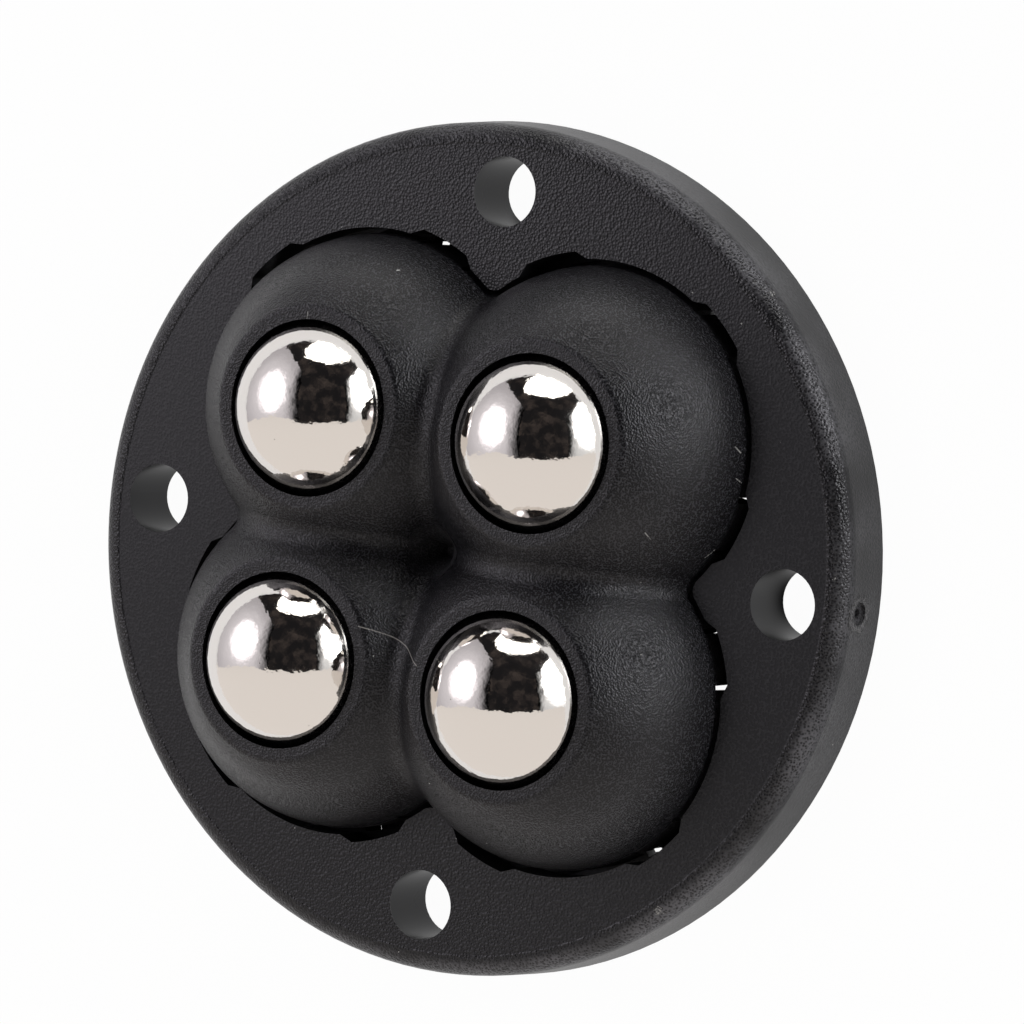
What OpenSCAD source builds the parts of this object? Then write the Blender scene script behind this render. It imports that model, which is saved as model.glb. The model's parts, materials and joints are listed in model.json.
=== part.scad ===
// Four-ball transfer unit: a round flange with four screw holes, and a domed cover that holds
// four load balls. Each load ball runs on a bed of small balls in a pressed steel cup.
//
// The back of the flange lies on z = 0, and the origin is its centre. The ball axes point to +Z,
// and the screw holes lie on the X and Y axes.

/* [Balls] */
// Diameter of a load ball
ball_d = 15.875; // [12:0.005:20]
// Diameter of a small support ball
support_d = 2.381; // [2:0.001:3]
// Running clearance of the support balls, to the load ball and to the cup
run_gap = 0.02; // [0.01:0.01:0.08]
// Angle at the load ball's centre from one ring of support balls to the next
ring_step = 15.5; // [15.5:0.5:18]
// Rings of support balls round the one at the bottom
rings = 4; // [2:1:4]

/* [Cups] */
// Sheet thickness of a pressed cup
cup_t = 0.55; // [0.4:0.05:1]
// Depth of the cup's rim below the centre of its load ball
rim_drop = 2.5; // [2:0.1:4]
// Space between two neighbouring cups
cup_gap = 0.5; // [0.2:0.1:4]

/* [Flange] */
// Diameter of the flange at its back face
flange_d = 76; // [73:1:110]
// Thickness of the flange
flange_t = 6.4; // [5.2:0.1:9]
// Draft of the flange's side wall, in degrees
side_draft = 3.2; // [0:0.1:6]
// Radius of the rounded edge from the side wall to the front face
edge_r = 1.8; // [0.5:0.1:2.4]
// Thickness of the plate in front of the pockets in the back
face_t = 2.5; // [1.8:0.1:3]
// Thickness of the walls and ribs that stand in the pockets
rib_t = 1.6; // [1:0.1:2]
// Thickness of the floor that carries the cups, under each cup's lowest point
seat_t = 3; // [2.6:0.1:4]

/* [Screw holes] */
// Diameter of a screw hole
hole_d = 6.2; // [3.2:0.1:7]
// Distance of a hole's centre in from the flange's edge
hole_inset = 6.2; // [5.6:0.1:8]
// Thickness of the boss round a hole
boss_t = 2.2; // [1.5:0.1:3]

/* [Cover] */
// How far a dome's foot stands out past its cup
dome_margin = 4.6; // [4:0.1:7]
// Thickness of the domes' skin
skin_t = 2; // [1.4:0.1:2.4]
// Height of the opening's land above the load ball's centre
land_rise = 3.15; // [2.6:0.05:4]
// Width of the flat land round the opening, to the sharp edge
land_w = 1.15; // [0.6:0.05:2]
// Radius of the land's rounded outer edge
land_edge_r = 0.9; // [0.2:0.1:1.2]
// Clearance of the opening's lip round the load ball
lip_gap = 0.45; // [0.2:0.05:0.8]
// Radius of the fillet in the crease between two domes
crease_r = 1.8; // [1:0.1:3]
// Gap between the cover's foot and the flange's opening
foot_gap = 0.5; // [0.3:0.1:1]

/* [Snap hooks] */
// Angles of the hooks about a dome's axis, from the line that runs out to the flange's edge
hook_angles = [-65.5, 0, 65.5];
// Half of the angle that a hook takes up
hook_half = 8.5; // [5:0.5:9]
// Half of the angle that a window takes up
window_half = 10.5; // [10:0.5:13]
// Part of a window's half angle over which its outer wall slopes in
window_slope = 4; // [2:0.5:5]
// Thickness of a hook's tongue
tongue_t = 1.4; // [1:0.1:1.8]
// How far a hook's barb stands out from its tongue
barb = 0.95; // [0.5:0.05:1]
// Thickness of the ledge that the barbs catch under
ledge_t = 1.6; // [1.2:0.1:2]

/* [Hidden] */
$fn = 96;

// Past the faces that a cut leaves open
over = 1;
// Between two faces that seat on each other
seat_gap = 0.05;
// A rounding bites by this much into the round that it runs into, so that they meet cleanly
bite = 0.005;

// Rounds to a thousandth, so that faces that meet in one plane get the same place
function tidy(x) = round(1000 * x) / 1000;

// Point at the radius r and the angle a
function polar(r, a) = [r * cos(a), r * sin(a)];

// Balls and cups, from the load ball outwards
ball_r = ball_d / 2;
support_r = support_d / 2;
bed_r = ball_r + run_gap + support_r;
cup_in_r = bed_r + support_r + run_gap;
cup_out_r = tidy(cup_in_r + cup_t);
ball_z = seat_t + cup_out_r;
rim_z = ball_z - rim_drop;

// Stations, numbered anticlockwise from the one at +X +Y
station_c = tidy(cup_out_r + cup_gap / 2);
station_out = station_c * sqrt(2);
function station_at(i) = [for (a = [45, 135, 225, 315]) [cos(a), sin(a)] * station_out][i];
function station_turn(i) = 45 + 90 * i;

// Flange: floor, which clears the cups, screw bosses and ribs of the back
flange_r = flange_d / 2;
cup_lift = 0.2;
floor_z = seat_t - cup_lift;
ledge_z = floor_z - ledge_t;
hole_circle_r = flange_r - hole_inset;
boss_r = hole_d / 2 + boss_t;
rim_in_r = flange_r - flange_t * tan(side_draft) - rib_t;
outer_rib_angle = 24;
floor_rib_angles = [-33, 33, 135, 180, 225];

// Dished seat of a cup: radius, and top at the radius of the dish, as shares of the cup's radius
seat_share = 0.7;
dish_share = 0.66;
seat_r = seat_share * cup_out_r;
seat_top = ball_z - cup_out_r * sqrt(1 - pow(dish_share, 2));

// Mark of the mould's gate: height as a share of the flange's thickness, radius and depth, and
// the dimple in its middle
gate_share = 0.55;
gate_r = 1;
gate_depth = 0.25;
dimple_r = 0.45;
dimple_depth = 0.35;

// Cover
dome_r = cup_out_r + dome_margin;
land_z = ball_z + land_rise;
lip_r = ball_r + lip_gap;
opening_r = sqrt(lip_r * lip_r - land_rise * land_rise);
land_r = opening_r + land_w;
dome_z = tidy(land_z - sqrt(dome_r * dome_r - land_r * land_r));
skirt_z = floor_z + seat_gap;
ceiling_z = rim_z + seat_gap;
cavity_r = dome_r - skin_t;

land_edge_rise = land_z - land_edge_r - dome_z;
land_edge_x = sqrt(pow(dome_r - land_edge_r + bite, 2) - pow(land_edge_rise, 2));
shoulder_z = tidy(dome_z + land_edge_rise * dome_r / (dome_r - land_edge_r));

// Flat bottom of the pit between the domes, and its height as a share of the domes' radius
pit_r = 2;
pit_share = 0.25;
pit_z = dome_z + pit_share * dome_r;

// Opening of the flange, and its windows and slots with the room they give a hook
barb_room = 0.25;
slot_room_out = 0.4;
slot_room_in = 1.5;
mouth_r = dome_r + foot_gap;
barb_r = dome_r + barb;
window_r = barb_r + barb_room;
slot_out_r = dome_r + slot_room_out;
slot_in_r = dome_r - tongue_t - slot_room_in;
mouth_wall_r = window_r + rib_t;

// Hooks: slits beside them, which end this far below the face, top of the thin tongue below the
// slits' ends, and the foot's root, side and face set into the tongue, and its length
tongue_in_r = dome_r - tongue_t;
slit_drop = 0.3;
slit_z = flange_t - slit_drop;
slit_half = (window_half - hook_half) / 2;
slit_mid = (window_half + hook_half) / 2;
tongue_top = 0.3;
foot_root = 1;
foot_side = 0.5;
foot_inset = 0.1;
foot_drop = 0.85;
foot_z = ledge_z - foot_drop;
barb_edge = 0.35;

// Places its children at every station, turned so that +X runs out to the flange's edge
module at_stations() {
    for (i = [0 : 3]) translate(concat(station_at(i), 0)) rotate([0, 0, station_turn(i)]) children();
}

// Part of a ring about the Z axis, centred on the angle a
module sector(r_in, r_out, a, half, z_low, z_high) {
    rotate([0, 0, a - half])
        rotate_extrude(angle = 2 * half)
            translate([r_in, z_low]) square([r_out - r_in, z_high - z_low]);
}

// Fillets in both notches between two neighbouring circles of the radius r, with the line
// through their centres along Y
module notch_fillets(r, fillet_r) {
    arc_r = sqrt(pow(r + fillet_r - bite, 2) - pow(station_c, 2));
    for (side = [0, 1]) mirror([side, 0]) difference() {
        polygon([[0, -station_c], [arc_r, 0], [0, station_c]]);
        translate([arc_r, 0]) circle(fillet_r);
    }
}

// The flange's outside, with its drafted side and rounded front edge
module flange_blank() {
    edge_z = flange_t - edge_r;
    edge_x = flange_r - edge_z * tan(side_draft) - edge_r / cos(side_draft);
    rotate_extrude() {
        polygon([
            [0, 0],
            [flange_r, 0],
            [edge_x + edge_r * cos(side_draft), edge_z + edge_r * sin(side_draft)],
            [edge_x, flange_t],
            [0, flange_t]
        ]);
        intersection() {
            translate([edge_x, edge_z]) circle(edge_r);
            translate([edge_x - edge_r / 2, edge_z]) square([2 * edge_r, edge_r]);
        }
    }
}

// Plan of the cover's opening, at an even gap round the foot of the cover
module mouth() {
    for (i = [0 : 3]) {
        translate(station_at(i)) circle(mouth_r);
        rotate([0, 0, 90 * i]) translate([station_c, 0]) notch_fillets(mouth_r, crease_r - foot_gap);
    }
    square(2 * station_c, center = true);
}

// Plan of one window in the face, with sloping ends
module window_plan() {
    wide = window_half + window_slope / 2;
    corner = polar(mouth_r, wide);
    reach = 2 * polar(window_r, wide - window_slope) - corner;
    intersection() {
        circle(window_r);
        polygon([[0, 0], [corner.x, -corner.y], [reach.x, -reach.y], reach, corner]);
    }
}

// Plan of the pockets outside the cover's opening
module outer_pockets() {
    difference() {
        circle(rim_in_r);
        for (i = [0 : 3]) {
            translate(station_at(i)) circle(mouth_wall_r);
            rotate([0, 0, 90 * i]) {
                translate([hole_circle_r, 0]) circle(boss_r);
                translate([hole_circle_r - boss_r - rib_t, -rib_t / 2])
                    square([boss_r + rib_t, rib_t]);
            }
            for (side = [-1, 1])
                rotate([0, 0, 90 * i + outer_rib_angle * side])
                    translate([0, -rib_t / 2]) square([rim_in_r + over, rib_t]);
        }
    }
}

// Plan of the recess under the floor, round the rings and ribs that stand on the mounting face
module floor_recess() {
    difference() {
        for (i = [0 : 3]) translate(station_at(i)) circle(dome_r);
        for (i = [0 : 3]) translate(station_at(i)) rotate(station_turn(i)) {
            difference() {
                circle(seat_r);
                circle(seat_r - rib_t);
            }
            circle(2 * rib_t);
            for (a = floor_rib_angles)
                rotate(a) translate([0, -rib_t / 2]) square([dome_r + over, rib_t]);
        }
    }
}

// Raised seat with a round dish, for one cup
module cup_seat() {
    difference() {
        translate([0, 0, ledge_z]) cylinder(h = seat_top - ledge_z, r = seat_r);
        translate([0, 0, ball_z]) sphere(cup_out_r + seat_gap);
    }
}

// Mark that the mould's gate leaves on the side of the flange
module gate_mark() {
    gate_z = gate_share * flange_t;
    wall_r = flange_r - gate_z * tan(side_draft);
    translate([wall_r - gate_depth, 0, gate_z]) rotate([0, 90, 0]) {
        cylinder(h = over, r = gate_r);
        translate([0, 0, -dimple_depth]) cylinder(h = over, r = dimple_r);
    }
}

module base_flange() {
    color("#1b1b1d") {
        difference() {
            flange_blank();
            translate([0, 0, floor_z]) linear_extrude(flange_t) {
                mouth();
                at_stations() for (a = hook_angles) rotate(a) window_plan();
            }
            at_stations() for (a = hook_angles) {
                sector(slot_in_r, slot_out_r, a, window_half, -over, floor_z + over);
                sector(slot_in_r, window_r, a, window_half, -over, ledge_z);
            }
            for (i = [0 : 3]) rotate([0, 0, 90 * i])
                translate([hole_circle_r, 0, -over]) cylinder(h = flange_t + 2 * over, d = hole_d);
            translate([0, 0, -over]) linear_extrude(flange_t - face_t + over) outer_pockets();
            translate([0, 0, -over]) linear_extrude(ledge_z + over) floor_recess();
            gate_mark();
        }
        at_stations() cup_seat();
    }
}

// Section through two neighbouring domes and the fillets between them, with the line through
// their centres along Y
module pair_section() {
    for (side = [-1, 1]) translate([0, side * station_c]) circle(dome_r);
    notch_fillets(dome_r, crease_r);
}

// A quarter of the domes up to their rounded tops: the crease at +X, and half of each dome
// beside it, ball-shaped down to its widest and straight below
module dome_quarter() {
    far = station_c + dome_r + over;
    intersection() {
        translate([station_c, 0, dome_z]) rotate([90, 0, 0]) rotate_extrude(angle = 180) intersection() {
            pair_section();
            translate([0, -far]) square([far, 2 * far]);
        }
        linear_extrude(shoulder_z) polygon([[0, 0], [far, -far], [far, far]]);
    }
    translate([0, 0, skirt_z]) linear_extrude(dome_z - skirt_z) intersection() {
        translate([station_c, 0]) pair_section();
        polygon([[0, 0], [far, -far], [far, far]]);
    }
}

// Flat land on top of one dome, with its rounded outer edge
module dome_top() {
    rotate_extrude() {
        translate([0, shoulder_z - 2 * land_edge_r])
            square([land_edge_x, land_z - shoulder_z + 2 * land_edge_r]);
        intersection() {
            translate([land_edge_x, land_z - land_edge_r]) circle(land_edge_r);
            translate([land_edge_x / 2, shoulder_z - 2 * land_edge_r]) square([land_edge_x, dome_r]);
        }
    }
}

// Profile of what is hollow in one dome: cavity, bore round the load ball and lip
module hollow_profile() {
    intersection() {
        translate([0, dome_z]) circle(cavity_r);
        translate([0, skirt_z]) square([cavity_r, ceiling_z - skirt_z]);
    }
    translate([0, skirt_z - over]) square([cavity_r, dome_z - skirt_z + over]);
    translate([0, skirt_z]) square([lip_r, ball_z - skirt_z]);
    intersection() {
        translate([0, ball_z]) circle(lip_r);
        translate([0, skirt_z]) square([lip_r, land_z + over - skirt_z]);
    }
}

// Slits on both sides of a hook, and the hollow that thins its tongue
module hook_cut(a) {
    low_z = skirt_z - over;
    for (side = [-1, 1])
        sector(cavity_r - over, dome_r + over, a + side * slit_mid, slit_half, low_z, slit_z);
    sector(cavity_r - over / 2, tongue_in_r, a, slit_mid, low_z + over / 2, slit_z - tongue_top);
}

// Lower end of a hook, from inside its tongue down through the window, with the barb outwards
module hook_foot(a) {
    half = hook_half - foot_side;
    top_z = skirt_z + foot_root;
    in_r = tongue_in_r + foot_inset;
    out_r = dome_r - foot_inset;
    catch_z = ledge_z - seat_gap;
    rotate([0, 0, a - half]) rotate_extrude(angle = 2 * half) polygon([
        [in_r, top_z],
        [out_r, top_z],
        [out_r, catch_z],
        [barb_r, catch_z],
        [barb_r, catch_z - barb_edge],
        [out_r - barb_edge, foot_z],
        [in_r, foot_z]
    ]);
}

module dome_cover() {
    color("#202022") {
        difference() {
            union() {
                for (i = [0 : 3]) rotate([0, 0, 90 * i]) dome_quarter();
                at_stations() dome_top();
                translate([0, 0, skirt_z]) cylinder(h = pit_z - skirt_z, r = pit_r);
            }
            at_stations() rotate_extrude() hollow_profile();
            at_stations() for (a = hook_angles) hook_cut(a);
        }
        at_stations() for (a = hook_angles) hook_foot(a);
    }
}

// Pressed steel cup of one station
module ball_cup(i) {
    color("#8f9194") translate(concat(station_at(i), ball_z)) rotate_extrude() intersection() {
        difference() {
            circle(cup_out_r);
            circle(cup_in_r);
        }
        translate([0, -cup_out_r]) square([cup_out_r, cup_out_r - rim_drop]);
    }
}

// Bed of small balls of one station: one at the bottom, and rings with as many as fit
module support_balls(i) {
    color("#d5d6d8") translate(concat(station_at(i), ball_z)) {
        translate([0, 0, -bed_r]) sphere(support_r);
        for (k = [1 : rings]) {
            tilt = k * ring_step;
            count = floor(180 / asin((support_r + run_gap / 2) / (bed_r * sin(tilt))));
            for (j = [0 : count - 1])
                rotate([0, tilt, j * 360 / count]) translate([0, 0, -bed_r]) sphere(support_r);
        }
    }
}

module load_ball(i) {
    color("#e4e2de") translate(concat(station_at(i), ball_z)) sphere(ball_r);
}

base_flange();
dome_cover();
for (i = [0 : 3]) {
    ball_cup(i);
    support_balls(i);
    load_ball(i);
}
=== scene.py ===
import json

import bmesh
import bpy
from mathutils import Matrix, Vector


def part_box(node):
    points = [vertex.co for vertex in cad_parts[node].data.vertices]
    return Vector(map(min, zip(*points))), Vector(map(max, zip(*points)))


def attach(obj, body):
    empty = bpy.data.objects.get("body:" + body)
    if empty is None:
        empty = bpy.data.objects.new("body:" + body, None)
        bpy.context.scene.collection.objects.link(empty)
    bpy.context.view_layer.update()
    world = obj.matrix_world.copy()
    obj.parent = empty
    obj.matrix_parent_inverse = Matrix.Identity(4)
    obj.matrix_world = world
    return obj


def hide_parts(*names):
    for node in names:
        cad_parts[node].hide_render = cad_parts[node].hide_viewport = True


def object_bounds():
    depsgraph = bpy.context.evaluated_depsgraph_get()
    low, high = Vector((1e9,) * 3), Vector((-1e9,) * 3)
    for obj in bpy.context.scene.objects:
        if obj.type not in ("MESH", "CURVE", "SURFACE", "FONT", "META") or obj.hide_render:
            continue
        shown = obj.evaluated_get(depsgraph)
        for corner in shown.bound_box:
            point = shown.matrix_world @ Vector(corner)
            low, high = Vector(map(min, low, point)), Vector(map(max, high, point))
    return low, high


bl_info = {
    "name": "Ball transfer unit",
    "version": (1, 0, 0),
    "blender": (4, 5, 0),
    "location": "3D View > Sidebar > Transfer Unit",
    "description": "Finishes a four-ball transfer unit and sets up its studio",
    "category": "3D View",
}

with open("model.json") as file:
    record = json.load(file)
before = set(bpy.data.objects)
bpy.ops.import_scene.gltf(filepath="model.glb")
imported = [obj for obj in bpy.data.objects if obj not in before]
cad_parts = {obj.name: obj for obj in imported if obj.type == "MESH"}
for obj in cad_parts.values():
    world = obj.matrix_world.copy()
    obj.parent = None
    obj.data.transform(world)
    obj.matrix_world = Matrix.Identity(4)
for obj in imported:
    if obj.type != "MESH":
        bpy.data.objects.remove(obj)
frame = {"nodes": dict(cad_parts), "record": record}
CAD_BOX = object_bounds()

MM = 0.001
STATIONS = (1, 2, 3, 4)

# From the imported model: the top of the flange's face, the flange's radius, its screw holes and its middle
FACE_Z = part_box("base_flange")[1].z
FLANGE_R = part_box("base_flange")[1].y
HOLES = next(m["dims"] for m in frame["record"]["mounts"] if m["kind"] == "bolt_pattern")
HOLE_RING = HOLES["pcd_mm"] / 2 * MM
HOLE_R = HOLES["hole_r_mm"] * MM
MIDDLE = (CAD_BOX[0] + CAD_BOX[1]) / 2
# The face is flat out to here, and then rounds down to the side wall
FACE_R = FLANGE_R - 2.06 * MM
# Ridge of that rounding, which is rubbed first
RIDGE_R = FACE_R + 1.2 * MM
# The flange's walls within this radius are shut in round the cover's foot, where their colour is painted
# darker as shade
SHUT_IN_R = 30 * MM
# Where the gate was cut off, a little over half way up the side wall
GATE = Vector((FLANGE_R, 0, 0.55 * FACE_Z))

# Rubbed spots: a point and a radius, in mm
FLANGE_SCUFFS = (
    ((23.5, -28.2, 6.4), 1.9),
    ((26.8, 26.3, 5.4), 1.1),
    ((-25.6, 25.9, 6.4), 0.9),
    ((36.4, 2.9, 6.3), 0.7),
)
COVER_SCUFFS = (
    ((-6.6, 24.0, 11.9), 0.7),
    ((-3.9, -8.0, 17.1), 0.4),
    ((-4.3, -16.0, 17.1), 0.4),
)
# Short scratches on the cover: from one point to another, in mm
COVER_SCRATCHES = (
    ((26.2, 12.9, 7.8), (26.4, 12.4, 7.0)),
    ((26.4, 10.2, 7.3), (26.5, 9.8, 6.4)),
    ((24.1, 2.9, 6.8), (24.6, 3.7, 6.2)),
    ((-12.2, 18.9, 17.1), (-12.2, 19.5, 17.1)),
    ((21.7, 4.9, 13.9), (22.0, 4.3, 13.2)),
)
# Dust: the size of the cells that it falls in and the radius of a speck, in mm, the share of the cells that
# have one, and its colour
FLANGE_DUST = (
    (2.4, 0.07, 0.35, "8d8d8b"),
    (1.1, 0.035, 0.25, "626262"),
)
COVER_DUST = (
    (2.2, 0.06, 0.3, "9a9a97"),
    (0.9, 0.03, 0.25, "5c5c5c"),
)
# Fibre on the cover, from above: the middle and radius of its bow, its own middle, and half its length
FIBRE_BOW = Vector((-4.9, -19.6, 0)) * MM
FIBRE_BOW_R = 12.7 * MM
FIBRE_MIDDLE = Vector((-0.3, -8.1, 0)) * MM
FIBRE_HALF = 3.4 * MM

# Both plastics mirror a little less than clean plastic does, and a little bluer, and have broad paler patches
PLASTIC_SHEEN = 0.3
PLASTIC_TINT = (0.96, 0.96, 1.0, 1.0)
PLASTIC_PATCH = "111113"

# Camera: the way back to it from the unit, its right, and its place
VIEW_BACK = Vector((0.47536, 0.08732, 0.87545))
VIEW_RIGHT = Vector((0.86773, 0.11765, -0.48290))
CAMERA_PLACE = Vector((268.574, 52.555, 492.692)) * MM

# Under the unit, within the first radius, no wall mirrors the floor as white. Past the second they do
SHADOW_RADII = (28.5 * MM, 30.5 * MM)

# Soft boxes, in metres. Place and facing are along the camera's right, up and back, and size is across the
# view and along it. The cloth is brightest at its middle, a place on it: its hot spot ends at reach, and the
# rest goes from near to far over the spread. With a fade, the cloth is dark at the first of two places along
# the view, and full at the second
SOFT_BOXES = (
    dict(
        name="table_card", place=(0, -0.07, -0.2), size=(2.6, 0.84), facing=(0, 1, 0), colour="fff8f2",
        middle=(0, 0), hot=0, reach=0.3, near=0.88, far=0.78, spread=1.2,
    ),
    dict(
        name="left_box", place=(-0.5, 0.26, 0.235), size=(1.05, 1.01), facing=(1, 0, 0), colour="fffaff",
        middle=(-0.07, -0.07), hot=3.0, reach=0.27, near=0.95, far=0.48, spread=0.62, fade=(0.48, 0.13),
    ),
    dict(
        name="right_box", place=(0.5, 0.15, 0.5), size=(0.9, 0.95), facing=(-1, 0, 0), colour="ffffff",
        middle=(-0.15, -0.12), hot=8.0, reach=0.42, near=1.45, far=0.7, spread=0.6, fade=(0.44, 0.12),
    ),
    dict(
        name="top_box", place=(0.025, 0.5, 0.135), size=(0.44, 0.36), facing=(0, -1, 0), colour="fffdf8",
        middle=(0, 0), hot=1.8, reach=0.3, near=2.0, far=2.0, spread=0.3, corners=48,
    ),
)

# Map Range nodes ease in and out, and Bump nodes take heights in metres as they are
SMOOTH = {"interpolation_type": "SMOOTHSTEP"}
FULL_HEIGHT = {"Strength": 1.0, "Distance": 1.0}


def linear(hex_colour, alpha=1.0):
    """An sRGB hex colour, such as 1c1c1e, as linear red, green, blue and alpha."""
    channels = [int(hex_colour[i : i + 2], 16) / 255 for i in (0, 2, 4)]
    return [c / 12.92 if c <= 0.04045 else ((c + 0.055) / 1.055) ** 2.4 for c in channels] + [alpha]


def per(size_mm):
    """Texture scale at which one feature of a pattern is about this size, on coordinates in metres."""
    return 1 / (size_mm * MM)


def add(tree, kind, inputs=(), **settings):
    """Adds a shader node with its settings. Its inputs are given by name, or in order for those in use, and
    each is a value, an output, or a node whose first output in use is linked."""
    node = tree.nodes.new("ShaderNode" + kind)
    for name, value in settings.items():
        setattr(node, name, value)
    in_use = [socket for socket in node.inputs if socket.enabled]
    for key, value in inputs.items() if isinstance(inputs, dict) else enumerate(inputs):
        socket = node.inputs[key] if isinstance(key, str) else in_use[key]
        if isinstance(value, bpy.types.Node):
            value = next(output for output in value.outputs if output.enabled)
        if isinstance(value, bpy.types.NodeSocket):
            tree.links.new(value, socket)
        else:
            socket.default_value = value
    return node


def new_material(name):
    """A node material with nothing in it yet, as (material, tree)."""
    material = bpy.data.materials.new(name)
    material.use_nodes = True
    material.node_tree.nodes.clear()
    return material, material.node_tree


def dress(obj, material):
    """Gives an object this one material."""
    obj.data.materials.clear()
    obj.data.materials.append(material)


def build(name, mesh):
    """Object in the scene from a bmesh, which it frees."""
    data = bpy.data.meshes.new(name)
    mesh.to_mesh(data)
    mesh.free()
    obj = bpy.data.objects.new(name, data)
    bpy.context.scene.collection.objects.link(obj)
    return obj


def camera_axes():
    """The camera's right, its up and the way back to it from the unit."""
    back = VIEW_BACK.normalized()
    right = (VIEW_RIGHT - VIEW_RIGHT.dot(back) * back).normalized()
    return right, back.cross(right), back


def placed(right, up, back, place):
    """Matrix of an object with these axes, at a place."""
    rows = [(right[i], up[i], back[i], place[i]) for i in range(3)]
    return Matrix((*rows, (0, 0, 0, 1)))


# ---------------------------------------------------------------- settings


class PlasticFinish(bpy.types.PropertyGroup):
    """Black moulded plastic of the flange and the cover."""

    flange_colour: bpy.props.StringProperty(
        name="Flange colour",
        description="Colour of the flange's plastic, as an sRGB hex value",
        default="0c0c0e",
    )
    cover_colour: bpy.props.StringProperty(
        name="Cover colour",
        description="Colour of the cover's plastic, as an sRGB hex value",
        default="0c0c0e",
    )
    flange_grain: bpy.props.FloatProperty(
        name="Flange grain",
        description="Size of one grain on the flange's face",
        default=0.24 * MM,
        unit="LENGTH",
    )
    cover_grain: bpy.props.FloatProperty(
        name="Cover grain",
        description="Size of one grain on the domes",
        default=0.17 * MM,
        unit="LENGTH",
    )
    flange_depth: bpy.props.FloatProperty(
        name="Flange grain depth",
        description="Depth of the flange's grain",
        default=0.04 * MM,
        unit="LENGTH",
    )
    cover_depth: bpy.props.FloatProperty(
        name="Cover grain depth",
        description="Depth of the domes' grain",
        default=0.05 * MM,
        unit="LENGTH",
    )


class SteelFinish(bpy.types.PropertyGroup):
    """Polished bearing steel."""

    colour: bpy.props.StringProperty(
        name="Steel colour",
        description="Colour of the polished balls, as an sRGB hex value",
        default="e6e2de",
    )
    roughness: bpy.props.FloatProperty(
        name="Roughness",
        description="Roughness of the load balls",
        default=0.04,
        min=0,
        max=1,
        subtype="FACTOR",
    )
    wave: bpy.props.FloatProperty(
        name="Wave depth",
        description="Depth of the load balls' faint waves",
        default=0.02 * MM,
        unit="LENGTH",
    )


class StudioSettings(bpy.types.PropertyGroup):
    """Floor, soft boxes and camera."""

    lamp_level: bpy.props.FloatProperty(
        name="Lamp level",
        description="Brightness of all the soft boxes together",
        default=1.0,
        min=0,
    )
    white_floor: bpy.props.FloatProperty(
        name="White floor",
        description="How far the floor looks plain white, over its shadow",
        default=0.97,
        min=0,
        max=1,
        subtype="FACTOR",
    )
    lens: bpy.props.FloatProperty(
        name="Lens",
        description="Focal length of the camera in mm, on a sensor 36 mm wide",
        default=222.45,
    )


# ---------------------------------------------------------------- wear and dirt


def where_all(tree, *masks):
    """Mask of where all of these masks hold: their product."""
    share, *others = masks
    for mask in others:
        share = add(tree, "Math", [share, mask], operation="MULTIPLY")
    return share


def layered(tree, colour, layers):
    """Colour with others laid over it in turn, each by its own mask and as an sRGB hex value."""
    for mask, over in layers:
        colour = add(tree, "Mix", [mask, colour, linear(over)], data_type="RGBA")
    return colour


def specks(tree, place, cell_mm, radius_mm, share):
    """Mask of small round specks, one in some of the cells of this size."""
    cells = add(tree, "TexVoronoi", {"Vector": place, "Scale": per(cell_mm)}).outputs
    near = add(tree, "Math", [cells["Distance"], radius_mm / cell_mm], operation="LESS_THAN")
    pick = add(tree, "SeparateColor", [cells["Color"]])
    return where_all(tree, near, add(tree, "Math", [pick, share], operation="LESS_THAN"))


def scuff(tree, place, point_mm, radius_mm, grain_mm=0.25):
    """Mask of a rubbed spot: short light marks that thin out from the middle."""
    apart = add(tree, "VectorMath", [place, Vector(point_mm) * MM], operation="DISTANCE")
    near = add(tree, "MapRange", [apart, radius_mm * MM, 0.0], **SMOOTH)
    marks = {"Vector": place, "Scale": per(grain_mm), "Detail": 3.0, "Roughness": 0.7}
    return add(tree, "MapRange", [where_all(tree, near, add(tree, "TexNoise", marks)), 0.44, 0.58], **SMOOTH)


def scratch(tree, place, start_mm, end_mm, width_mm=0.08):
    """Mask of a short broken scratch between two points."""
    way = (Vector(end_mm) - Vector(start_mm)) * MM
    from_start = add(tree, "VectorMath", [place, Vector(start_mm) * MM], operation="SUBTRACT")
    along = add(tree, "VectorMath", [from_start, way / way.length_squared], operation="DOT_PRODUCT")
    along = add(tree, "Math", [along, 0.0], operation="MAXIMUM")
    along = add(tree, "Math", [along, 1.0], operation="MINIMUM")
    nearest = add(tree, "VectorMath", [way, along], operation="SCALE")
    apart = add(tree, "VectorMath", [from_start, nearest], operation="DISTANCE")
    line = add(tree, "MapRange", [apart, width_mm * MM, 0.4 * width_mm * MM], **SMOOTH)
    breaks = add(tree, "TexNoise", {"Vector": place, "Scale": per(0.2)})
    return where_all(tree, line, add(tree, "MapRange", [breaks, 0.38, 0.46], **SMOOTH))


def fibre(tree, flat):
    """Mask of a fine fibre that lies in a shallow bow over the valley between two domes."""
    out = add(tree, "VectorMath", [flat, FIBRE_BOW], operation="DISTANCE")
    off = add(tree, "Math", [out, FIBRE_BOW_R], operation="SUBTRACT")
    off = add(tree, "Math", [off], operation="ABSOLUTE")
    line = add(tree, "MapRange", [off, 0.06 * MM, 0.02 * MM], **SMOOTH)
    away = add(tree, "VectorMath", [flat, FIBRE_MIDDLE], operation="DISTANCE")
    return where_all(tree, line, add(tree, "Math", [away, FIBRE_HALF], operation="LESS_THAN"))


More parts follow.
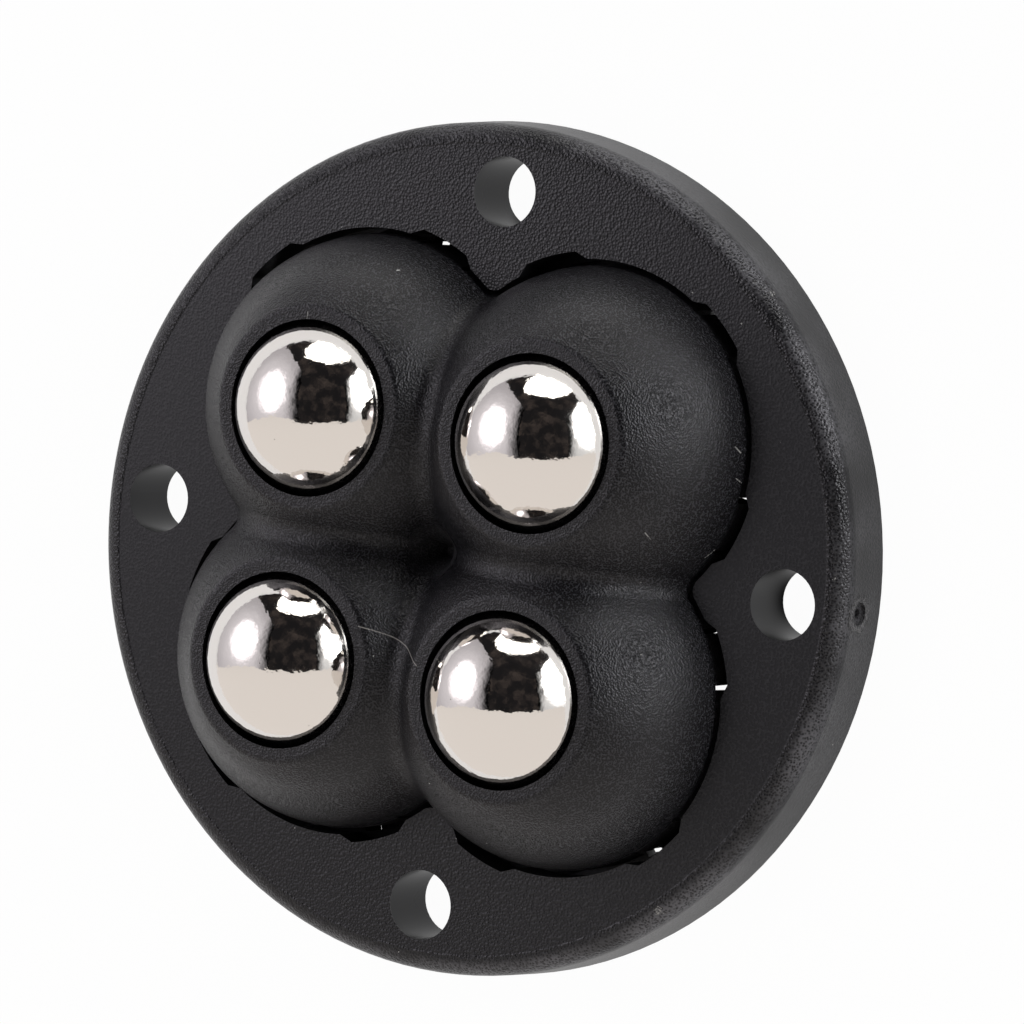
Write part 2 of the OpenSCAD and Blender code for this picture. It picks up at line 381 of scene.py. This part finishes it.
def screw_hole_walls(tree, across, along, on_face):
    """Mask of the walls of the four screw holes, from the distances to the Y and X axes."""
    farther = add(tree, "Math", [across, along], operation="MAXIMUM")
    out = add(tree, "Math", [farther, HOLE_RING], operation="SUBTRACT")
    aside = add(tree, "Math", [across, along], operation="MINIMUM")
    aside_squared = add(tree, "Math", [aside, aside], operation="MULTIPLY")
    squared = add(tree, "Math", [out, out, aside_squared], operation="MULTIPLY_ADD")
    from_hole = add(tree, "Math", [squared], operation="SQRT")
    at_hole = add(tree, "Math", [from_hole, HOLE_R + 0.04 * MM], operation="LESS_THAN")
    return where_all(tree, at_hole, add(tree, "Math", [1.0, on_face], operation="SUBTRACT"))


# ---------------------------------------------------------------- materials


def flange_plastic(finish):
    """Black ABS with a spark-eroded grain on its face and edge, and smoother sides and hole walls."""
    material, tree = new_material("black_abs_spark_eroded")
    place = add(tree, "TexCoord").outputs["Object"]
    x, y, z = add(tree, "SeparateXYZ", [place]).outputs
    flat = add(tree, "VectorMath", [place, (1, 1, 0)], operation="MULTIPLY")
    radius = add(tree, "VectorMath", [flat], operation="LENGTH")
    across = add(tree, "Math", [x], operation="ABSOLUTE")
    along = add(tree, "Math", [y], operation="ABSOLUTE")

    # The grain is on the face and runs over its rounded edge
    on_face = add(tree, "MapRange", [z, FACE_Z - 0.1 * MM, FACE_Z - 0.02 * MM], **SMOOTH)
    above = add(tree, "MapRange", [z, FACE_Z - 1.4 * MM, FACE_Z - 0.8 * MM], **SMOOTH)
    outside = add(tree, "MapRange", [radius, FACE_R - 0.3 * MM, FACE_R], **SMOOTH)
    rounded = where_all(tree, above, outside)
    grained = add(tree, "Math", [on_face, rounded], operation="MAXIMUM")
    # The mould's polished pins leave the screw holes smooth. The rest is as the mould's cutter left it
    bored = screw_hole_walls(tree, across, along, on_face)
    finished = add(tree, "Math", [grained, bored], operation="MAXIMUM")
    rest = add(tree, "Math", [1.0, finished], operation="SUBTRACT")
    # Painted shade: these shut-in walls are coloured darker, and they are also rougher
    dull_walls_and_painted_shade = where_all(tree, rest, add(tree, "Math", [radius, SHUT_IN_R], operation="LESS_THAN"))

    # Torn plastic where the gate was cut off
    torn = add(tree, "TexNoise", {"Vector": place, "Scale": per(0.5), "Detail": 4.0, "Roughness": 0.65})
    from_gate = add(tree, "VectorMath", [place, GATE], operation="DISTANCE")
    ragged = add(tree, "Math", [torn, 2.2 * MM, from_gate], operation="MULTIPLY_ADD")
    gate = add(tree, "MapRange", [ragged, 2.9 * MM, 2.6 * MM], **SMOOTH)
    off_lip = add(tree, "Math", [ragged, 2.5 * MM], operation="SUBTRACT")
    off_lip = add(tree, "Math", [off_lip], operation="ABSOLUTE")
    lip = add(tree, "MapRange", [off_lip, 0.4 * MM, 0.1 * MM], **SMOOTH)

    # Spark erosion leaves small craters side by side in the mould, deeper towards the two ends of the Y axis
    # and on the rounding, and shallower towards those of the X axis. The sides have faint marks only
    pebbles = add(tree, "TexVoronoi", {"Vector": place, "Scale": per(finish.flange_grain / MM)})
    faint = add(tree, "TexNoise", {"Vector": place, "Scale": per(0.22), "Roughness": 0.6})
    by_y = add(tree, "MapRange", [along, 10 * MM, 26 * MM, 0.5, 1.0], **SMOOTH)
    by_x = add(tree, "MapRange", [across, 6 * MM, 32 * MM, 1.0, 0.45], **SMOOTH)
    on_edge = add(tree, "Math", [rounded, 1.8], operation="MULTIPLY")
    depth = add(tree, "Math", [where_all(tree, by_y, by_x, grained), on_edge], operation="MAXIMUM")
    depth = add(tree, "Math", [depth, finish.flange_depth], operation="MULTIPLY")
    height = add(tree, "Math", [pebbles, depth], operation="MULTIPLY")
    marks = where_all(tree, faint, rest)
    height = add(tree, "Math", [marks, finish.flange_depth, height], operation="MULTIPLY_ADD")
    tears = where_all(tree, torn, gate)
    height = add(tree, "Math", [tears, 0.9 * MM, height], operation="MULTIPLY_ADD")
    bumps = add(tree, "Bump", {"Height": height, **FULL_HEIGHT})

    # Soft broad patches, a painted glint on the craters' tops and painted shade in their pits, pale rubbing
    # along the edge, most of it on the side of the gate, scuffs, dust in two sizes, the gate's pale lip, and
    # painted shade on the shut-in walls
    patches = add(tree, "TexNoise", {"Vector": place, "Scale": per(14)})
    # Painted glint: the craters' tops are paler, as if they caught the light
    painted_glint_tops = where_all(tree, add(tree, "MapRange", [pebbles, 0.5, 0.75], **SMOOTH), grained)
    # Painted shade: the craters' pits are darker
    pits = where_all(tree, add(tree, "MapRange", [pebbles, 0.35, 0.1], **SMOOTH), grained)
    off_ridge = add(tree, "Math", [radius, RIDGE_R], operation="SUBTRACT")
    off_ridge = add(tree, "Math", [off_ridge], operation="ABSOLUTE")
    ridge = add(tree, "MapRange", [off_ridge, 1.1 * MM, 0.2 * MM], **SMOOTH)
    places = add(tree, "TexNoise", {"Vector": place, "Scale": per(9), "Detail": 3.0})
    places = add(tree, "MapRange", [places, 0.3, 0.6], **SMOOTH)
    bare = add(tree, "MapRange", [pebbles, 0.15, 0.65], **SMOOTH)
    gate_side = add(tree, "MapRange", [x, -30 * MM, 20 * MM, 0.15, 0.75], **SMOOTH)
    colour = layered(tree, linear(finish.flange_colour), [
        (patches, PLASTIC_PATCH),
        (painted_glint_tops, "1e1e20"),
        (pits, "08080a"),
        (where_all(tree, ridge, places, bare, gate_side), "5c5c60"),
        *[(scuff(tree, place, point, size), "8c8c8a") for point, size in FLANGE_SCUFFS],
        *[(specks(tree, place, *size), dust) for *size, dust in FLANGE_DUST],
        (add(tree, "Math", [lip, 0.7], operation="MULTIPLY"), "5c5c5e"),
        (dull_walls_and_painted_shade, "060607"),
    ])

    # Hole walls shine more than the rest, the patches a little less, and the shut-in walls least
    gloss = add(tree, "MapRange", [grained, 0.0, 1.0, 0.3, 0.22], **SMOOTH)
    for mask, rougher in ((bored, -0.06), (patches, 0.08), (dull_walls_and_painted_shade, 0.45)):
        gloss = add(tree, "Math", [mask, rougher, gloss], operation="MULTIPLY_ADD")
    shader = add(tree, "BsdfPrincipled", {
        "Base Color": colour, "Roughness": gloss, "Normal": bumps,
        "Specular IOR Level": PLASTIC_SHEEN, "Specular Tint": PLASTIC_TINT,
    })
    add(tree, "OutputMaterial", {"Surface": shader})
    return material


def cover_plastic(finish):
    """Black nylon with a very fine moulded grain, which gives the domes a soft sparkle, helped by a painted
    glint on the grain's tops.
    """
    material, tree = new_material("black_nylon_fine_grain")
    place = add(tree, "TexCoord").outputs["Object"]
    flat = add(tree, "VectorMath", [place, (1, 1, 0)], operation="MULTIPLY")
    grain = add(tree, "TexVoronoi", {"Vector": place, "Scale": per(finish.cover_grain / MM)})
    height = add(tree, "Math", [grain, finish.cover_depth], operation="MULTIPLY")
    bumps = add(tree, "Bump", {"Height": height, **FULL_HEIGHT})

    # Soft broad patches, a painted glint on the tops of the grain, the fibre, a few small scuffs and
    # scratches, and fine dust
    patches = add(tree, "TexNoise", {"Vector": place, "Scale": per(9)})
    colour = layered(tree, linear(finish.cover_colour), [
        (patches, PLASTIC_PATCH),
        # Painted glint: the grain's tops are paler
        (add(tree, "MapRange", [grain, 0.5, 0.72], **SMOOTH), "2c2c2f"),
        (fibre(tree, flat), "7d7b78"),
        *[(scuff(tree, place, point, size, 0.15), "b5b5b2") for point, size in COVER_SCUFFS],
        *[(scratch(tree, place, start, end), "8f8f8d") for start, end in COVER_SCRATCHES],
        *[(specks(tree, place, *size), dust) for *size, dust in COVER_DUST],
    ])

    # The foot with its hooks and the bottom of the pit between the domes are as dull as the cutter left them
    z = add(tree, "SeparateXYZ", [place]).outputs["Z"]
    low = add(tree, "MapRange", [z, FACE_Z - 0.3 * MM, FACE_Z - 0.9 * MM], **SMOOTH)
    from_axis = add(tree, "VectorMath", [flat, (0, 0, 0)], operation="DISTANCE")
    in_pit = add(tree, "MapRange", [from_axis, 2.6 * MM, 1.8 * MM], **SMOOTH)
    dull = add(tree, "Math", [low, in_pit], operation="MAXIMUM")
    gloss = add(tree, "MapRange", [patches, 0.3, 0.7, 0.2, 0.25], **SMOOTH)
    shader = add(tree, "BsdfPrincipled", {
        "Base Color": colour, "Normal": bumps,
        "Roughness": add(tree, "Math", [dull, 0.5, gloss], operation="MULTIPLY_ADD"),
        "Specular IOR Level": PLASTIC_SHEEN, "Specular Tint": PLASTIC_TINT,
    })
    add(tree, "OutputMaterial", {"Surface": shader})
    return material


def polished_steel(name, hex_colour, roughness, wave_mm, wave_depth):
    """Hardened bearing steel, tumbled bright, with the faint waves and pits of cheap grinding."""
    material, tree = new_material(name)
    place = add(tree, "TexCoord").outputs["Object"]
    waves = add(tree, "TexNoise", {"Vector": place, "Scale": per(wave_mm)})
    height = add(tree, "Math", [waves, wave_depth], operation="MULTIPLY")
    film = add(tree, "TexNoise", {"Vector": place, "Scale": per(3.5), "Detail": 3.0})
    shader = add(tree, "BsdfPrincipled", {
        "Base Color": layered(tree, linear(hex_colour), [(specks(tree, place, 1.7, 0.06, 0.3), "8a857f")]),
        "Metallic": 1.0,
        "Roughness": add(tree, "MapRange", [film, 0.35, 0.75, roughness, roughness + 0.05], **SMOOTH),
        "Normal": add(tree, "Bump", {"Height": height, **FULL_HEIGHT}),
    })
    add(tree, "OutputMaterial", {"Surface": shader})
    return material


def pressed_steel():
    """Deep-drawn steel sheet, case-hardened, which leaves a dull grey scale in small patches."""
    material, tree = new_material("pressed_steel_hardened")
    place = add(tree, "TexCoord").outputs["Object"]
    scale = add(tree, "TexNoise", {"Vector": place, "Scale": per(1.2), "Detail": 4.0})
    shader = add(tree, "BsdfPrincipled", {
        "Base Color": layered(tree, linear("7c7b79"), [(scale, "a3a29f")]),
        "Metallic": 1.0,
        "Roughness": add(tree, "MapRange", [scale, 0.3, 0.7, 0.28, 0.45], **SMOOTH),
    })
    add(tree, "OutputMaterial", {"Surface": shader})
    return material


def paper_floor(white_floor):
    """Matt pale paper, whose own white shows to the camera over most of its shading."""
    material, tree = new_material("pale_paper_floor")
    paper = add(tree, "BsdfPrincipled", {"Base Color": linear("f0f0f0"), "Roughness": 0.9})
    white = add(tree, "Emission", {"Color": (1, 1, 1, 1), "Strength": 1.0})
    # Its middle lies in the unit's own shadow, so the walls round it don't mirror it as white
    path = add(tree, "LightPath").outputs
    place = add(tree, "TexCoord").outputs["Object"]
    from_unit = add(tree, "VectorMath", [place, (0, 0, 0)], operation="DISTANCE")
    mirrored = add(tree, "MapRange", [from_unit, *SHADOW_RADII, 0.0, 0.65], **SMOOTH)
    mirrored = where_all(tree, path["Is Glossy Ray"], mirrored)
    seen = add(tree, "Math", [path["Is Camera Ray"], mirrored], operation="MAXIMUM")
    share = add(tree, "Math", [seen, white_floor], operation="MULTIPLY")
    lit = add(tree, "MixShader", [share, paper, white])
    # From below, the floor lets the camera see the unit's back
    facing_away = add(tree, "NewGeometry").outputs["Backfacing"]
    under = where_all(tree, facing_away, path["Is Camera Ray"])
    both = add(tree, "MixShader", [under, lit, add(tree, "BsdfTransparent")])
    add(tree, "OutputMaterial", {"Surface": both})
    return material


def studio_wall():
    """Dim wall with a few warm things on it, far out of focus."""
    material, tree = new_material("dim_studio_wall")
    place = add(tree, "TexCoord").outputs["Object"]
    patches = add(tree, "TexNoise", {"Vector": place, "Scale": per(900), "Detail": 5.0, "Roughness": 0.6})
    patches = add(tree, "MapRange", [patches, 0.42, 0.8], **SMOOTH)
    walls = layered(tree, linear("1d1c1d"), [(patches, "4c4440")])
    add(tree, "OutputMaterial", {"Surface": add(tree, "Emission", {"Color": walls, "Strength": 1.0})})
    return material


def lamp_cloth(name, colour, level, middle, hot, reach, near, far, spread, fade=None):
    """White cloth of a soft box, lit from behind, brighter round its lamp. Only its front shines."""
    material, tree = new_material(f"{name}_cloth")
    cloth = add(tree, "TexCoord").outputs["Object"]
    spot = add(tree, "VectorMath", [cloth, (*middle, 0)], operation="DISTANCE")
    core = add(tree, "MapRange", [spot, 0.04, reach, hot, 0.0], **SMOOTH)
    wide = add(tree, "MapRange", [spot, 0.0, spread, near, far], **SMOOTH)
    glow = add(tree, "Math", [core, wide], operation="ADD")
    if fade:
        along = add(tree, "SeparateXYZ", [cloth]).outputs["Y"]
        glow = where_all(tree, glow, add(tree, "MapRange", [along, *fade], **SMOOTH))
    glow = add(tree, "Math", [glow, level], operation="MULTIPLY")
    facing_away = add(tree, "NewGeometry").outputs["Backfacing"]
    front = add(tree, "Math", [1.0, facing_away], operation="SUBTRACT")
    light = add(tree, "Emission", {"Color": linear(colour), "Strength": where_all(tree, glow, front)})
    add(tree, "OutputMaterial", {"Surface": light})
    return material


# ---------------------------------------------------------------- operators


class TRANSFER_OT_camera(bpy.types.Operator):
    """Camera in front of the unit, a little to its right and above"""

    bl_idname = "transfer.camera"
    bl_label = "Camera"

    def execute(self, context):
        data = bpy.data.cameras.new("camera")
        data.sensor_width = 36
        data.lens = context.scene.transfer_studio.lens
        data.clip_start = 0.01
        data.clip_end = 50
        camera = bpy.data.objects.new("camera", data)
        camera.matrix_world = placed(*camera_axes(), CAMERA_PLACE)
        context.scene.collection.objects.link(camera)
        context.scene.camera = camera
        return {"FINISHED"}


class TRANSFER_OT_stage(bpy.types.Operator):
    """Pale floor, dim room, white background and soft boxes"""

    bl_idname = "transfer.stage"
    bl_label = "Stage"

    def execute(self, context):
        studio = context.scene.transfer_studio
        self.floor(studio.white_floor)
        self.room()
        self.world(context)
        for box in SOFT_BOXES:
            self.soft_box(level=studio.lamp_level, **box)
        context.scene.view_settings.view_transform = "Standard"
        return {"FINISHED"}

    def floor(self, white_floor):
        """Large pale floor just under the flange's back. It looks near white, and keeps the unit's shadow."""
        mesh = bmesh.new()
        bmesh.ops.create_grid(mesh, x_segments=1, y_segments=1, size=8)
        bmesh.ops.translate(mesh, verts=mesh.verts, vec=(0, 0, -0.02 * MM))
        floor = build("floor", mesh)
        dress(floor, paper_floor(white_floor))

    def room(self):
        """Dim room round the set, which only the reflections show."""
        mesh = bmesh.new()
        bmesh.ops.create_icosphere(mesh, subdivisions=3, radius=4)
        bmesh.ops.reverse_faces(mesh, faces=mesh.faces)
        room = build("room", mesh)
        room.visible_camera = False
        room.visible_shadow = False
        dress(room, studio_wall())

    def world(self, context):
        """White behind the set, for the camera, mirrors and glass only."""
        world = bpy.data.worlds.new("studio")
        world.use_nodes = True
        tree = world.node_tree
        tree.nodes.clear()
        path = add(tree, "LightPath").outputs
        glossy, clear = path["Is Glossy Ray"], path["Is Transmission Ray"]
        looked_at = add(tree, "Math", [glossy, clear], operation="MAXIMUM")
        looked_at = add(tree, "Math", [path["Is Camera Ray"], looked_at], operation="MAXIMUM")
        dim = add(tree, "Background", {"Color": linear("3a3a3c"), "Strength": 1.0})
        white = add(tree, "Background", {"Color": (1, 1, 1, 1), "Strength": 1.0})
        add(tree, "OutputWorld", {"Surface": add(tree, "MixShader", [looked_at, dim, white])})
        context.scene.world = world

    def soft_box(self, name, place, size, facing, corners=4, **cloth):
        """Soft box at a place in the camera's axes, with its second side along the view."""
        mesh = bmesh.new()
        if corners == 4:
            bmesh.ops.create_grid(mesh, x_segments=1, y_segments=1, size=0.5)
        else:
            bmesh.ops.create_circle(mesh, cap_ends=True, segments=corners, radius=0.5)
        bmesh.ops.scale(mesh, verts=mesh.verts, vec=(*size, 1))
        box = build(name, mesh)
        axes = camera_axes()
        front = sum((amount * axis for amount, axis in zip(facing, axes)), Vector()).normalized()
        offset = sum((amount * axis for amount, axis in zip(place, axes)), Vector())
        back = axes[2]
        box.matrix_world = placed(back.cross(front), back, front, MIDDLE + offset)
        box.visible_camera = False
        dress(box, lamp_cloth(name, **cloth))


class TRANSFER_OT_flange(bpy.types.Operator):
    """Grained black plastic on the flange"""

    bl_idname = "transfer.flange"
    bl_label = "Flange"

    def execute(self, context):
        dress(frame["nodes"]["base_flange"], flange_plastic(context.scene.transfer_plastic))
        return {"FINISHED"}


class TRANSFER_OT_cover(bpy.types.Operator):
    """Fine-grained black plastic on the domed cover"""

    bl_idname = "transfer.cover"
    bl_label = "Cover"

    def execute(self, context):
        dress(frame["nodes"]["dome_cover"], cover_plastic(context.scene.transfer_plastic))
        return {"FINISHED"}


class TRANSFER_OT_load_balls(bpy.types.Operator):
    """Four smooth load balls in polished steel"""

    bl_idname = "transfer.load_balls"
    bl_label = "Load balls"

    def execute(self, context):
        steel = context.scene.transfer_steel
        material = polished_steel(
            "bearing_steel_polished", steel.colour, steel.roughness, wave_mm=0.8, wave_depth=steel.wave
        )
        for i in STATIONS:
            low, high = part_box(f"load_ball_{i}")
            mesh = bmesh.new()
            bmesh.ops.create_icosphere(mesh, subdivisions=6, radius=(high.z - low.z) / 2)
            bmesh.ops.translate(mesh, verts=mesh.verts, vec=(low + high) / 2)
            for face in mesh.faces:
                face.smooth = True
            ball = build(f"polished_load_ball_{i}", mesh)
            dress(ball, material)
            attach(ball, f"ball_{i}")
            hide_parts(f"load_ball_{i}")
        return {"FINISHED"}


class TRANSFER_OT_bearings(bpy.types.Operator):
    """Steel of the cups and of the small support balls"""

    bl_idname = "transfer.bearings"
    bl_label = "Cups and support balls"

    def execute(self, context):
        cup = pressed_steel()
        steel = context.scene.transfer_steel
        small = polished_steel(
            "bearing_steel_small_balls", steel.colour, roughness=0.08, wave_mm=0.6, wave_depth=steel.wave / 4
        )
        for i in STATIONS:
            dress(frame["nodes"][f"ball_cup_{i}"], cup)
            dress(frame["nodes"][f"support_balls_{i}"], small)
        return {"FINISHED"}


class TRANSFER_PT_panel(bpy.types.Panel):
    """Lists the settings and the steps that finish the unit"""

    bl_idname = "TRANSFER_PT_panel"
    bl_label = "Ball transfer unit"
    bl_space_type = "VIEW_3D"
    bl_region_type = "UI"
    bl_category = "Transfer Unit"

    def draw(self, context):
        layout = self.layout
        scene = context.scene
        for group in (scene.transfer_plastic, scene.transfer_steel, scene.transfer_studio):
            box = layout.box()
            for name in group.__annotations__:
                box.prop(group, name)
        for step in STEPS:
            layout.operator(step.bl_idname)


GROUPS = (PlasticFinish, SteelFinish, StudioSettings)
STEPS = (
    TRANSFER_OT_camera,
    TRANSFER_OT_stage,
    TRANSFER_OT_flange,
    TRANSFER_OT_cover,
    TRANSFER_OT_load_balls,
    TRANSFER_OT_bearings,
)


def register():
    for cls in (*GROUPS, *STEPS, TRANSFER_PT_panel):
        bpy.utils.register_class(cls)
    bpy.types.Scene.transfer_plastic = bpy.props.PointerProperty(type=PlasticFinish)
    bpy.types.Scene.transfer_steel = bpy.props.PointerProperty(type=SteelFinish)
    bpy.types.Scene.transfer_studio = bpy.props.PointerProperty(type=StudioSettings)


def unregister():
    del bpy.types.Scene.transfer_studio
    del bpy.types.Scene.transfer_steel
    del bpy.types.Scene.transfer_plastic
    for cls in reversed((*GROUPS, *STEPS, TRANSFER_PT_panel)):
        bpy.utils.unregister_class(cls)


def main():
    register()
    bpy.ops.transfer.camera()
    bpy.ops.transfer.stage()
    bpy.ops.transfer.flange()
    bpy.ops.transfer.cover()
    bpy.ops.transfer.load_balls()
    bpy.ops.transfer.bearings()


if __name__ == "__main__":
    main()
